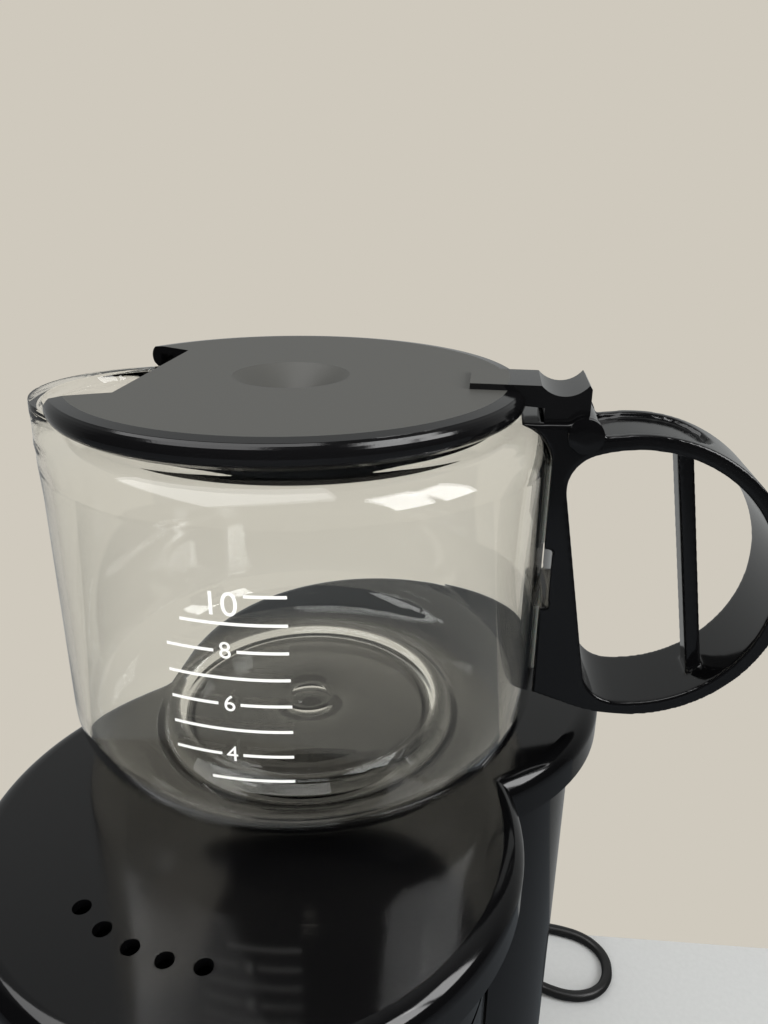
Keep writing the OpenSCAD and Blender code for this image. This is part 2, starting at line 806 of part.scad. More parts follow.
module indicator_lens() {
    color("#c22a1c") lens_place() rotate([0, 90, 0]) {
        translate([0, 0, -5]) cylinder(r = lens_r, h = 6);
        translate([0, 0, 1 - eps]) cylinder(r1 = lens_r, r2 = lens_r - 0.8, h = 0.8);
    }
}

module terminal_block() {
    color("#ece8dc") difference() {
        translate([-20, axis_gap + 36, foot_h + bottom_t]) cube([40, 15, 14]);
        for (i = [-1:1]) translate([i * 12, axis_gap + 43.5, foot_h + bottom_t + 6])
            cylinder(r = 2.2, h = 12, $fn = 24);
    }
}

gland_r = 6.5;

module strain_relief() {
    color("#161617") translate([exit_x, gland_y, exit_z]) difference() {
        union() {
            translate([0, -wall - 6, 0]) rod_y(gland_r, wall + 8);
            translate([0, -wall - 5.8, 0]) rod_y(gland_r + 2, 2.4);
            translate([0, 3.2, 0]) rod_y(gland_r + 1.5, 2.5);
            translate([0, 1, 0]) rotate([-90, 0, 0])
                cylinder(r1 = gland_r - 0.5, r2 = cord_r + 0.9, h = relief_l - 1);
        }
        translate([0, -9, 0]) rod_y(cord_r, relief_l + 10);
        for (k = [0:5]) translate([0, 7 + k * 4.5, 0]) rotate([-90, 0, 0])
            ring(cord_r + 0.9 + (5 - k) * 0.28, 8, 1.6);
    }
}

module power_cord() {
    inside = [[exit_x, gland_y - 7, exit_z], [exit_x, gland_y + relief_l / 2, exit_z]];
    color("#1a1a1b") tube(concat(inside, cord_pts), cord_r, 10);
}

module cord_coil() {
    color("#1a1a1b") translate([coil_x, coil_y, 0])
        ring(coil_r - 1.5 * cord_d, coil_r + 0.5 * cord_d, cord_d);
}

// Round plug lying on its side, its boot coming off the coil's outer turn
module mains_plug() {
    plug_r = 18;
    plug_y = coil_y - 34;
    plug_x = coil_x - coil_r - cord_d;
    color("#1a1a1b") translate([plug_x, plug_y, 0]) {
        difference() {
            union() {
                translate([0, -30, plug_r]) rod_y(plug_r, 20);
                translate([0, -11, plug_r]) rotate([-90, 0, 0])
                    cylinder(r1 = 14, r2 = 7, h = 12);
            }
            for (s = [-1, 1]) translate([s * plug_r, -31, plug_r - 4]) cube([5, 16, 8], center = false);
        }
        rotate_boot() cylinder(r1 = 5.6, r2 = cord_r + 0.5, h = 36);
    }
    color("#c9ccd0") translate([plug_x, plug_y - 30, plug_r])
        for (s = [-1, 1]) translate([s * 9.5, -19, 0]) rod_y(2.4, 19 + eps);
}

module rotate_boot() {
    translate([0, 0, 18]) rotate([-90 - 22, 0, 0]) children();
}

// ---- jug ----

function glass_out(grow) = concat(
    [[0, 3], [38, 2.2], [foot_flat_r - 5, 0]],
    arc(foot_flat_r, jug_foot_round, jug_foot_round, -90, 0, 14),
    arc(shoulder_r, shoulder_z, jug_shoulder, 0, 90, 10),
    [[mouth_r + glass_t + 0.6, shoulder_z + jug_shoulder], [mouth_r + glass_t, jug_h - 0.6],
        [mouth_r + glass_t - 0.8, jug_h], [0, jug_h]]);

function glass_in() = concat(
    [[0, 5.6], [38, 5]],
    arc(foot_flat_r, jug_foot_round, jug_foot_round - glass_t, -90, 0, 14),
    arc(shoulder_r, shoulder_z, jug_shoulder - glass_t, 0, 90, 10),
    [[mouth_r + 1, shoulder_z + jug_shoulder - glass_t], [mouth_r, shoulder_z + jug_shoulder - 0.6],
        [mouth_r, jug_h + 1], [0, jug_h + 1]]);

// The room of the pouring lip; in is how far it is drawn in from the outside
module lip_room(in, z_low, z_high) {
    tip_r = 8;
    hull() {
        translate([0, 0, z_low]) cylinder(r = mouth_r + glass_t - in, h = z_high - z_low, $fn = 96);
        translate([-spout_reach + tip_r, 0, z_low + 4]) cylinder(r = tip_r - in, h = z_high - z_low - 4,
            $fn = 32);
    }
}

module jug_glass() {
    rim_z = jug_h - 1.5;
    color([0.86, 0.9, 0.9, 0.35]) at_jug() difference() {
        union() {
            rotate_extrude() polygon(glass_out(0));
            lip_room(0, shoulder_z + 5, rim_z);
        }
        rotate_extrude() polygon(glass_in());
        lip_room(glass_t, shoulder_z + 5 + glass_t, jug_h + 2);
    }
}

// Bonding pads between the glass and the handle
module handle_bond() {
    color("#c9c9c4") at_jug() intersection() {
        union() {
            translate([0, 0, bond_low]) ring(jug_r + 0.1, jug_r + bond_t - 0.1, 22);
            translate([0, 0, bond_high]) ring(jug_r + 0.1, jug_r + bond_t - 0.1, shoulder_z - bond_high - 1);
        }
        translate([jug_r - 8, -bond_w / 2, 0]) cube([16, bond_w, jug_h]);
    }
}

// Outline of the handle's opening, a round cut by the leaning grip
module bow_window() {
    offset(bow_corner) offset(-bow_corner) intersection() {
        translate([bow_x, bow_z]) circle(bow_r - bow_t);
        translate([bow_x - 16, bow_z]) rotate(grip_lean) translate([0, -60]) square([120, 120]);
    }
}

module circle_at_bow(r) {
    translate([bow_x, bow_z]) circle(r);
}

module handle_outline() {
    translate([bow_x, bow_z]) circle(bow_r);
    polygon([[jug_r - 4, 22], [bow_x - 16.5, bow_z - bow_r + 3.1], [bow_x, bow_z - bow_r],
        [bow_x, bow_z + bow_r], [lid_pin_x + 5, lid_pin_z - 0.2], [lid_pin_x, lid_pin_z + ear_r],
        [lid_pin_x - 4, lid_pin_z + 3], [hook_in, hook_z], [hook_in, hook_z - 14],
        [jug_r - 4, 80]]);
    translate([lid_pin_x, lid_pin_z]) circle(ear_r, $fn = 48);
}

module jug_handle() {
    color("#101011") at_jug() difference() {
        union() {
            difference() {
                slab(-handle_w / 2, handle_w / 2) handle_outline();
                slab(-handle_w, handle_w) bow_window();
            }
            intersection() {
                slab(-strut_d / 2, strut_d / 2) translate([bow_x + 19, bow_z]) rotate(grip_lean)
                    translate([-strut_w / 2, -60]) square([strut_w, 120]);
                slab(-strut_d, strut_d) translate([bow_x, bow_z]) circle(bow_r - 1);
            }
        }
        // the glass, with its shoulder
        cap(jug_r + bond_t, jug_h - 2.2 + seat_gap, jug_shoulder + bond_t);
        translate([0, 0, bond_low + 23]) cylinder(r = jug_r + 3, h = bond_high - bond_low - 24);
        translate([0, 0, hook_z]) cylinder(r = hook_in + 8, h = 20);
        // room between the ears for the lid's barrel and lever
        slab(-tab_w / 2 - move_gap, tab_w / 2 + move_gap) {
            translate([lid_pin_x, lid_pin_z]) circle(barrel_r + 0.6);
            translate([lid_pin_x - 12, lid_pin_z]) square([12 + barrel_r + 0.6, 20]);
            translate([lid_pin_x + 1, lid_pin_z - 1.2]) square([10, 20]);
        }
        // thumb dish that follows the bow, with a round end
        intersection() {
            slab(-handle_w, handle_w) difference() {
                circle_at_bow(bow_r + 4);
                circle_at_bow(bow_r - dish_d);
            }
            translate([0, 0, bow_z]) linear_extrude(80) {
                translate([dish_x, 0]) circle(tab_w / 2 + move_gap);
                translate([lid_pin_x + 1, -tab_w / 2 - move_gap])
                    square([dish_x - lid_pin_x - 1, tab_w + 2 * move_gap]);
            }
        }
        slab(-12.6, 12.6) translate([lid_pin_x, lid_pin_z]) circle(pin_r);
    }
}

module lid_pin() {
    color("#b5b8bc") at_jug() translate([lid_pin_x, -12.5, lid_pin_z]) rod_y(pin_r, 25);
}

function lid_out() = concat([[0, lid_top], [lid_r - 5, lid_top], [lid_r - 1.4, lid_top - 0.5]],
    arc(lid_r - 3.6, lid_top - 3.8, 3.9, 55, -35, 8),
    [[lid_r - 2.4, lid_top - 7.4], [lid_r - 3.4, lid_top - 7.4], [lid_r - 3.6, lid_top - 2.6],
        [0, lid_top - 2.6]]);

module jug_lid() {
    cone_low = 12;
    color("#2a2a2a") at_jug() difference() {
        union() {
            difference() {
                union() {
                    translate([-lid_shift, 0, 0]) rotate_extrude() polygon(lid_out());
                    // skirt in the mouth, rest on the rim, funnel under the dimple
                    translate([0, 0, jug_h - 7]) ring(mouth_r - 4, mouth_r - 2, lid_rise + 5);
                    translate([0, 0, jug_h + move_gap]) ring(mouth_r - 2.5, mouth_r + 1.5, lid_rise - 2);
                    translate([-lid_shift, 0, lid_top - cone_low])
                        cylinder(r1 = 5, r2 = dimple_r + 2, h = cone_low - 1);
                }
                translate([-lid_shift, 0, lid_top - cone_low + 2])
                    cylinder(r1 = 3, r2 = dimple_r, h = cone_low - 2 + eps);
                translate([-lid_shift, 0, lid_top - cone_low - 1]) cylinder(r = 2.6, h = 5);
                // pouring notch
                translate([0, 0, jug_h - 10]) linear_extrude(lid_rise + 20) polygon([
                    [-notch_x, -notch_w / 2], [-notch_x, notch_w / 2],
                    [-notch_x - 40, notch_w / 2 + 20], [-notch_x - 40, -notch_w / 2 - 20]]);
            }
            // hinge tab with its thumb saddle, and the barrel on the pin
            slab(-tab_w / 2, tab_w / 2) difference() {
                polygon([[lid_r - 19, lid_top - 2], [lid_r - 19, tab_top], [lid_pin_x - 0.5, tab_top],
                    [lid_pin_x, tab_top + 0.8], [lid_pin_x + 1, tab_top - 0.6],
                    [lid_pin_x + 1, lid_pin_z + 4], [lid_pin_x + barrel_r - 0.3, lid_pin_z],
                    [lid_pin_x - barrel_r, lid_pin_z], [lid_pin_x - barrel_r, jug_h - 2.5],
                    [lid_pin_x - 11.5, jug_h - 2.5], [lid_pin_x - 11.5, lid_top - 4.6],
                    [lid_r - 3.6, lid_top - 4.2], [lid_r - 8, lid_top - 2.6]]);
                translate([lid_pin_x - 6.5, tab_top + 5.6]) circle(8.4, $fn = 48);
            }
            translate([lid_pin_x, -tab_w / 2, lid_pin_z]) rod_y(barrel_r, tab_w);
        }
        translate([lid_pin_x, -tab_w, lid_pin_z]) rod_y(pin_r + run_gap, 2 * tab_w);
    }
}

foot_ring_front();
foot_ring_rear();
bottom_cover();
base_screws();
base_housing();
hot_plate();
plate_seal();
heater();
heater_strap();
strap_nut();
thermostat();
thermal_fuse();
inlet_hose();
check_valve();
outlet_hose();
riser_tube();
tower_housing();
level_window();
water_tank();
upper_housing();
outlet_arm();
water_spreader();
cover_pin();
top_cover();
holder_pin();
filter_holder();
filter_insert();
valve_cage();
valve_stem();
valve_seal();
valve_spring();
switch_body();
switch_rocker();
indicator_lens();
terminal_block();
strain_relief();
power_cord();
cord_coil();
mains_plug();
jug_glass();
handle_bond();
jug_handle();
jug_lid();
lid_pin();
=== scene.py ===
import math

import bpy
from bpy.props import FloatProperty, IntProperty, PointerProperty, StringProperty
from bpy.types import Operator, Panel, PropertyGroup
from mathutils import Matrix, Vector


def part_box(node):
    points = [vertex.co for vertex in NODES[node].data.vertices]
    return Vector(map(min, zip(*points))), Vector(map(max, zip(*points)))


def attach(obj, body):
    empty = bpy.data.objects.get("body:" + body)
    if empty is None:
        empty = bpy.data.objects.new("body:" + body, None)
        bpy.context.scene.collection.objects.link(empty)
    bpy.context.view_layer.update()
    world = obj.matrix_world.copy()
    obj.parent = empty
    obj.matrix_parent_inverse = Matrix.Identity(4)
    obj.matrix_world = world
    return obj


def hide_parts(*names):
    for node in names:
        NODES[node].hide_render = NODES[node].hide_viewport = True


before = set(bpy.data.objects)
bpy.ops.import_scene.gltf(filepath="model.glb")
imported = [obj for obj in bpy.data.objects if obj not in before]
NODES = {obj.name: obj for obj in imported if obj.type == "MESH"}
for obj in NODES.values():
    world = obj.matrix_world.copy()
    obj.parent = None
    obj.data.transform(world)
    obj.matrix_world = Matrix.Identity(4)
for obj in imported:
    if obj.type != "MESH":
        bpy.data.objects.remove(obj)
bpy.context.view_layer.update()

bl_info = {
    "name": "Drip coffee maker",
    "version": (1, 0, 0),
    "blender": (4, 5, 0),
    "location": "3D View > Sidebar > Coffee maker",
    "description": "Finishes a two-round drip coffee maker around its CAD frame",
    "category": "Object",
}

MM = 0.001
# The direction that the camera looks in over the floor, in degrees from +X
HEADING = 116

# The jug's own frame on the cover: its axis, its foot's height and the handle's direction
JUG_AXIS = Vector((-0.0128, 0.0527))
JUG_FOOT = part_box("jug_glass")[0][2]
JUG_TURN = math.radians(19)

# The lead's route on the floor, from the strain relief to the coil, in millimetres
LEAD_ROUTE = [
    (18, 151.2, 18), (18, 176.2, 18), (18, 194, 18), (18.5, 203, 17), (21, 212, 14.5), (26, 220, 11.5),
    (33, 226, 8.5), (42, 229.5, 5.5), (52, 231, 3.8), (61, 233, 3.3), (70, 237.5, 3.3),
    (76.5, 244.5, 3.3), (79.5, 253.5, 3.3), (78.5, 263, 3.3), (74, 271.5, 3.3), (66.5, 277, 3.3),
    (57, 279.5, 3.3), (46, 279, 3.3), (34, 276.5, 3.3), (21, 273, 3.3), (8, 269.5, 3.3),
    (-5, 266.5, 3.3), (-18, 263.5, 3.3), (-31, 260.5, 3.3), (-44, 257.5, 3.3),
]
COIL_CENTRE = (-62, 214)
COIL_R = 38
LEAD_D = 6.6


def colour(code):
    """An sRGB hex code as the linear colour that the shaders use."""
    out = []
    for k in (1, 3, 5):
        c = int(code[k:k + 2], 16) / 255
        out.append(c / 12.92 if c <= 0.04045 else ((c + 0.055) / 1.055) ** 2.4)
    return (*out, 1.0)


def add(owner, kind, inputs=(), **settings):
    """Adds one node to a material or world, sets its settings and fills or links its inputs."""
    node = owner.node_tree.nodes.new(kind)
    for key, value in settings.items():
        setattr(node, key, value)
    for key, value in dict(inputs).items():
        if isinstance(value, bpy.types.NodeSocket):
            owner.node_tree.links.new(value, node.inputs[key])
        else:
            node.inputs[key].default_value = value
    return node


def new_material(name, **sockets):
    """A material with its Principled shader, and the sockets that are the same all over."""
    mat = bpy.data.materials.new(name)
    mat.use_nodes = True
    shader = mat.node_tree.nodes["Principled BSDF"]
    for key, value in sockets.items():
        shader.inputs[key.replace("_", " ")].default_value = value
    return mat, shader


def mix_colours(mat, shader, share, first, second):
    """Mixes two colours into a surface by a share from 0, all the first, to 1, all the second."""
    mix = add(mat, "ShaderNodeMix", data_type="RGBA")
    mix.inputs[6].default_value = colour(first)
    mix.inputs[7].default_value = colour(second)
    mat.node_tree.links.new(share, mix.inputs[0])
    mat.node_tree.links.new(mix.outputs[2], shader.inputs["Base Color"])


def wave_wall(mat, shader, wave_mm, relief_mm, detail):
    """Gives a clear wall the slow waviness that blowing or moulding leaves in it."""
    place = add(mat, "ShaderNodeTexCoord").outputs["Object"]
    wave = add(mat, "ShaderNodeTexNoise", {"Vector": place, "Scale": 1000 / wave_mm, "Detail": detail})
    bump = add(mat, "ShaderNodeBump", {"Height": wave.outputs["Fac"], "Distance": relief_mm * MM,
               "Strength": 0.3})
    mat.node_tree.links.new(bump.outputs["Normal"], shader.inputs["Normal"])


def finish_surface(mat, shader, rough, spread, grain_mm, relief_mm, tint=None):
    """Gives a surface its grain: uneven gloss, a fine relief and, if told, two mixed colours."""
    place = add(mat, "ShaderNodeTexCoord").outputs["Object"]
    grain = add(mat, "ShaderNodeTexNoise", {"Vector": place, "Scale": 1000 / grain_mm, "Detail": 3.0})
    wipes = add(mat, "ShaderNodeTexNoise", {"Vector": place, "Scale": 1000 / 60, "Detail": 4.0})
    gloss = add(mat, "ShaderNodeMapRange", {"Value": wipes.outputs["Fac"], "From Min": 0.3,
                "From Max": 0.7, "To Min": rough - spread, "To Max": rough + spread})
    mat.node_tree.links.new(gloss.outputs["Result"], shader.inputs["Roughness"])
    bump = add(mat, "ShaderNodeBump", {"Height": grain.outputs["Fac"], "Distance": relief_mm * MM,
               "Strength": 0.6})
    mat.node_tree.links.new(bump.outputs["Normal"], shader.inputs["Normal"])
    if tint:
        mix_colours(mat, shader, wipes.outputs["Fac"], *tint)
    return place


def make_materials(look):
    """Every finish on the machine, named for the real material and how it was made."""
    out = {}

    # ABS from a polished mould: deep black, mirror-like, with the faint ripple of a flat moulding
    mat, shader = new_material("ABS_polished_mould", IOR=1.52)
    finish_surface(mat, shader, look.gloss, 0.03, 14, 0.012, ("#060607", "#0b0b0c"))
    out["gloss"] = mat

    # ABS from a spark-eroded mould: soft sheen and a fine even grain, drawn at 0.8 mm so that it shows
    mat, shader = new_material("ABS_grained_mould", IOR=1.52)
    finish_surface(mat, shader, 0.42, 0.05, 0.8, 0.03, ("#141415", "#1d1d1e"))
    out["grained"] = mat

    # Lid: polypropylene with a spark-eroded top and a polished rolled rim; the grey of the top is painted
    # sheen, standing in for the light that the matt top scatters at a low view
    mat, shader = new_material("polypropylene_lid_moulding", IOR=1.5)
    place = finish_surface(mat, shader, 0.45, 0.04, 0.7, 0.02)
    flat = add(mat, "ShaderNodeMapping", {"Vector": place, "Scale": (1, 1, 0),
               "Location": (-lid_centre()[0], -lid_centre()[1], 0)})
    reach = add(mat, "ShaderNodeVectorMath", {0: flat.outputs["Vector"]}, operation="LENGTH")
    satin_radius = 0.0645
    inside = add(mat, "ShaderNodeMath", {0: satin_radius, 1: reach.outputs["Value"]},
                 operation="GREATER_THAN")
    facing = add(mat, "ShaderNodeSeparateXYZ", {
        "Vector": add(mat, "ShaderNodeTexCoord").outputs["Normal"]})
    upward = add(mat, "ShaderNodeMath", {0: facing.outputs["Z"], 1: 0.5}, operation="GREATER_THAN")
    satin_and_painted_sheen = add(mat, "ShaderNodeMath", {0: inside.outputs[0], 1: upward.outputs[0]}, operation="MULTIPLY")
    # painted sheen: upward faces of the top get the grey, the rest stays the dark plastic; the higher
    # roughness is the real satin finish
    mix_colours(mat, shader, satin_and_painted_sheen.outputs[0], "#0d0d0e", look.lid_colour_code)
    rough = add(mat, "ShaderNodeMapRange", {"Value": satin_and_painted_sheen.outputs[0], "To Min": 0.12, "To Max": 0.5})
    mat.node_tree.links.new(rough.outputs["Result"], shader.inputs["Roughness"])
    out["lid"] = mat

    # Borosilicate glass, blown into a mould: clear, with a slow waviness in its wall
    mat, shader = new_material("borosilicate_glass_blown", IOR=1.47, Roughness=0.0,
                               Transmission_Weight=1.0, Base_Color=colour("#fefffe"))
    wave_wall(mat, shader, wave_mm=45, relief_mm=0.25, detail=1.0)
    out["glass"] = mat

    # Enamel ink, screen printed on the glass and fired: matt off-white with small thin spots
    mat, shader = new_material("fired_enamel_ink", IOR=1.5)
    finish_surface(mat, shader, 0.55, 0.05, 1.5, 0.01, ("#efefeb", "#fafaf7"))
    out["ink"] = mat

    # Stainless steel pins and springs, ground
    mat, shader = new_material("stainless_steel_ground", Metallic=1.0)
    finish_surface(mat, shader, 0.24, 0.05, 0.6, 0.01, ("#a9abad", "#c2c4c6"))
    out["steel"] = mat

    # Zinc-plated steel screws, nut and strap
    mat, shader = new_material("steel_zinc_plated", Metallic=1.0)
    finish_surface(mat, shader, 0.36, 0.08, 1.2, 0.02, ("#9a9c9b", "#b8b9b3"))
    out["zinc"] = mat

    # Aluminium heater, die cast: dull bright metal with a cast skin
    mat, shader = new_material("aluminium_die_cast", Metallic=1.0)
    finish_surface(mat, shader, 0.5, 0.08, 1.5, 0.06, ("#a6a8aa", "#c3c5c7"))
    out["cast"] = mat

    # Hot plate: pressed steel with a sprayed and baked non-stick coating
    mat, shader = new_material("nonstick_coating_sprayed", IOR=1.45)
    finish_surface(mat, shader, 0.38, 0.05, 1.0, 0.04, ("#151516", "#222223"))
    out["plate"] = mat

    # Silicone rubber, moulded: milky hoses and pads
    mat, shader = new_material("silicone_milky_extruded", IOR=1.41, Transmission_Weight=0.15,
                               Subsurface_Weight=0.2)
    finish_surface(mat, shader, 0.4, 0.06, 2.0, 0.02, ("#c9c9c2", "#dcdcd6"))
    out["silicone"] = mat

    # Red silicone seal
    mat, shader = new_material("silicone_red_moulded", IOR=1.41)
    finish_surface(mat, shader, 0.45, 0.05, 2.0, 0.02, ("#8c2c20", "#a63a2b"))
    out["red_silicone"] = mat

    # Natural polypropylene, moulded: pipes, filter insert and valve
    mat, shader = new_material("polypropylene_natural_moulded", IOR=1.49, Subsurface_Weight=0.15)
    finish_surface(mat, shader, 0.38, 0.05, 1.2, 0.02, ("#bdb9ac", "#cfccc1"))
    out["natural"] = mat

    # Smoke-tinted SAN of the tank and its level window, moulded clear
    mat, shader = new_material("SAN_smoke_moulded", IOR=1.57, Roughness=0.06,
                               Transmission_Weight=0.9, Base_Color=colour("#9aa1a1"))
    wave_wall(mat, shader, wave_mm=30, relief_mm=0.15, detail=2.0)
    out["tank"] = mat

    # Natural rubber feet, moulded
    mat, shader = new_material("rubber_moulded", IOR=1.52)
    finish_surface(mat, shader, 0.7, 0.05, 0.9, 0.04, ("#161616", "#232322"))
    out["rubber"] = mat

    # Soft PVC of the lead, its sleeve and plug: extruded and moulded, slightly waxy
    mat, shader = new_material("PVC_black_extruded", IOR=1.53)
    finish_surface(mat, shader, 0.36, 0.06, 1.4, 0.02, ("#121212", "#1d1d1d"))
    out["pvc"] = mat

    # The plug: the same PVC, with nickel-plated brass pins in front of its face
    mat, shader = new_material("PVC_plug_with_nickel_pins", IOR=1.53)
    place = finish_surface(mat, shader, 0.38, 0.05, 1.0, 0.02)
    pin_length = 0.0188
    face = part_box("mains_plug")[0][1] + pin_length
    along = add(mat, "ShaderNodeSeparateXYZ", {"Vector": place})
    pins = add(mat, "ShaderNodeMath", {0: face, 1: along.outputs["Y"]}, operation="GREATER_THAN")
    mat.node_tree.links.new(pins.outputs[0], shader.inputs["Metallic"])
    mix_colours(mat, shader, pins.outputs[0], "#161616", "#c8c6bd")
    out["plug"] = mat

    # Red polycarbonate of the rocker and the pilot lamp, moulded clear-tinted
    mat, shader = new_material("polycarbonate_red_moulded", IOR=1.58, Transmission_Weight=0.35)
    finish_surface(mat, shader, 0.15, 0.03, 4.0, 0.01, ("#7a120d", "#98201a"))
    out["red"] = mat

    # Steatite ceramic and glass-fibre sleeve of the heat controls, pressed and braided
    mat, shader = new_material("steatite_pressed", IOR=1.6)
    finish_surface(mat, shader, 0.6, 0.06, 0.9, 0.05, ("#c4beb0", "#d8d3c7"))
    out["ceramic"] = mat

    # Polyamide terminal block, moulded
    mat, shader = new_material("polyamide_natural_moulded", IOR=1.53)
    finish_surface(mat, shader, 0.45, 0.05, 1.1, 0.02, ("#cfcabb", "#dedacd"))
    out["nylon"] = mat
    return out


# The finish of each node
FINISH = {
    "gloss": ["base_housing", "tower_housing", "upper_housing", "top_cover", "filter_holder", "jug_handle"],
    "grained": ["bottom_cover", "switch_body"],
    "lid": ["jug_lid"],
    "glass": ["jug_glass"],
    "tank": ["water_tank", "level_window"],
    "steel": ["cover_pin", "holder_pin", "lid_pin", "valve_spring"],
    "zinc": ["base_screws", "heater_strap", "strap_nut"],
    "cast": ["heater"],
    "plate": ["hot_plate"],
    "silicone": ["inlet_hose", "outlet_hose", "handle_bond"],
    "red_silicone": ["valve_seal"],
    "natural": ["riser_tube", "outlet_arm", "water_spreader", "filter_insert", "valve_cage", "valve_stem"],
    "nylon": ["check_valve", "terminal_block"],
    "rubber": ["foot_ring_front", "foot_ring_rear", "plate_seal"],
    "pvc": ["strain_relief", "power_cord", "cord_coil"],
    "plug": ["mains_plug"],
    "red": ["switch_rocker", "indicator_lens"],
    "ceramic": ["thermostat", "thermal_fuse"],
}

# Every material by its finish, filled in when the script runs
MATERIALS = {}


def jug_point(x, y, z):
    """A point in the jug's own frame, in millimetres, as a point in the machine's frame."""
    c, s = math.cos(JUG_TURN), math.sin(JUG_TURN)
    return Vector((JUG_AXIS.x + (c * x - s * y) * MM, JUG_AXIS.y + (s * x + c * y) * MM, JUG_FOOT + z * MM))


def lid_centre():
    return jug_point(-2.8, 0, 0)


def clear_selection():
    if bpy.context.object and bpy.context.object.mode != "OBJECT":
        bpy.ops.object.mode_set(mode="OBJECT")
    bpy.ops.object.select_all(action="DESELECT")


def select_only(obj):
    clear_selection()
    obj.select_set(True)
    bpy.context.view_layer.objects.active = obj


def finish_piece(obj, name, finish, body, angle=35):
    """Names a finished piece, fixes its place in its mesh, and gives it its finish and body."""
    select_only(obj)
    bpy.ops.object.transform_apply(location=True, rotation=True, scale=True)
    obj.name = name
    obj.data.name = name
    obj.data.materials.clear()
    obj.data.materials.append(MATERIALS[finish])
    bpy.ops.object.shade_smooth_by_angle(angle=math.radians(angle))
    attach(obj, body)
    return obj


def apply_modifier(obj, kind, **settings):
    select_only(obj)
    mod = obj.modifiers.new(kind.title(), kind)
    for key, value in settings.items():
        setattr(mod, key, value)
    bpy.ops.object.modifier_apply(modifier=mod.name)


def fix_normals(obj):
    select_only(obj)
    bpy.ops.object.mode_set(mode="EDIT")
    bpy.ops.mesh.select_all(action="SELECT")
    bpy.ops.mesh.remove_doubles(threshold=0.000005)
    bpy.ops.mesh.normals_make_consistent(inside=False)
    bpy.ops.object.mode_set(mode="OBJECT")


def jug_place():
    """The jug's own frame as a matrix: its foot's centre, turned to the handle's direction."""
    return Matrix.Translation((JUG_AXIS.x, JUG_AXIS.y, JUG_FOOT)) @ Matrix.Rotation(JUG_TURN, 4, "Z")


def place_in_jug(obj):
    """Moves a piece that was modelled in the jug's own frame, in metres, to its place."""
    place = jug_place()
    for v in obj.data.vertices:
        v.co = place @ v.co
    obj.data.update()


def rounded_copy(node, voxel_mm, passes):
    """A copy of a hard-edged moulding, remeshed in the jug's own frame and smoothed along its edges."""
    clear_selection()
    source = NODES[node]
    obj = source.copy()
    obj.data = source.data.copy()
    obj.parent = None
    obj.matrix_world = Matrix.Identity(4)
    bpy.context.collection.objects.link(obj)
    back = jug_place().inverted()
    for v in obj.data.vertices:
        v.co = back @ v.co
    fix_normals(obj)
    apply_modifier(obj, "REMESH", mode="VOXEL", voxel_size=voxel_mm * MM, use_smooth_shade=True)
    apply_modifier(obj, "SMOOTH", factor=0.5, iterations=passes)
    place_in_jug(obj)
    return obj


class CoffeeLook(PropertyGroup):
    gloss: FloatProperty(name="Housing roughness", description="Roughness of the polished black mouldings",
                         default=0.1, min=0.04, max=0.5)
    # the lid top's grey is painted sheen, the light that its matt top scatters, put into the colour
    lid_colour_code: StringProperty(name="Lid top colour", description="sRGB hex code of the satin lid top",
                                    default="#4a4a47")
    wall_code: StringProperty(name="Wall colour", description="sRGB hex code of the plain backdrop",
                              default="#cfc9bd")
    mirrored_floor_code: StringProperty(name="Mirrored worktop colour", default="#54585c",
                                        description="sRGB hex code of the worktop in the polished parts")
    floor_code: StringProperty(name="Worktop colour", description="sRGB hex code of the worktop",
                               default="#cfd1d1")


class JugSizes(PropertyGroup):
    radius: FloatProperty(name="Glass radius", description="Outer radius of the jug's glass",
                          default=0.075, unit="LENGTH")
    spout: FloatProperty(name="Spout reach", description="Reach of the pouring lip from the jug's axis",
                         default=0.0825, unit="LENGTH")
    mark_pitch: FloatProperty(name="Cup pitch", description="Height between two cup marks",
                              default=0.00744, unit="LENGTH")
    mark_start: FloatProperty(name="First mark", description="Height of the mark for three cups",
                              default=0.029, unit="LENGTH")
    steps: IntProperty(name="Steps", description="Faces round the glass", default=160, min=48, max=256)


class MakeCamera(Operator):
    """Places the camera"""
    bl_idname = "coffee.camera"
    bl_label = "Camera"

    def execute(self, context):
        pitch, roll, heading = 0.38239, 0.010177, math.radians(HEADING)
        forward = Vector((math.cos(heading) * math.cos(pitch), math.sin(heading) * math.cos(pitch),
                          -math.sin(pitch)))
        right = Vector((math.sin(heading), -math.cos(heading), 0))
        up = right.cross(forward)
        turned = Matrix.Rotation(-roll, 3, forward)
        right, up = turned @ right, turned @ up
        data = bpy.data.cameras.new("camera")
        data.sensor_fit = "VERTICAL"
        data.sensor_height = 36
        data.lens = 828 / 1024 * 36
        data.clip_start = 0.01
        cam = bpy.data.objects.new("camera", data)
        context.collection.objects.link(cam)
        cam.matrix_world = Matrix.Translation((0.116606, -0.154973, 0.482423)) @ Matrix((
            (right.x, up.x, -forward.x, 0), (right.y, up.y, -forward.y, 0),
            (right.z, up.z, -forward.z, 0), (0, 0, 0, 1)))
        context.scene.camera = cam
        return {"FINISHED"}


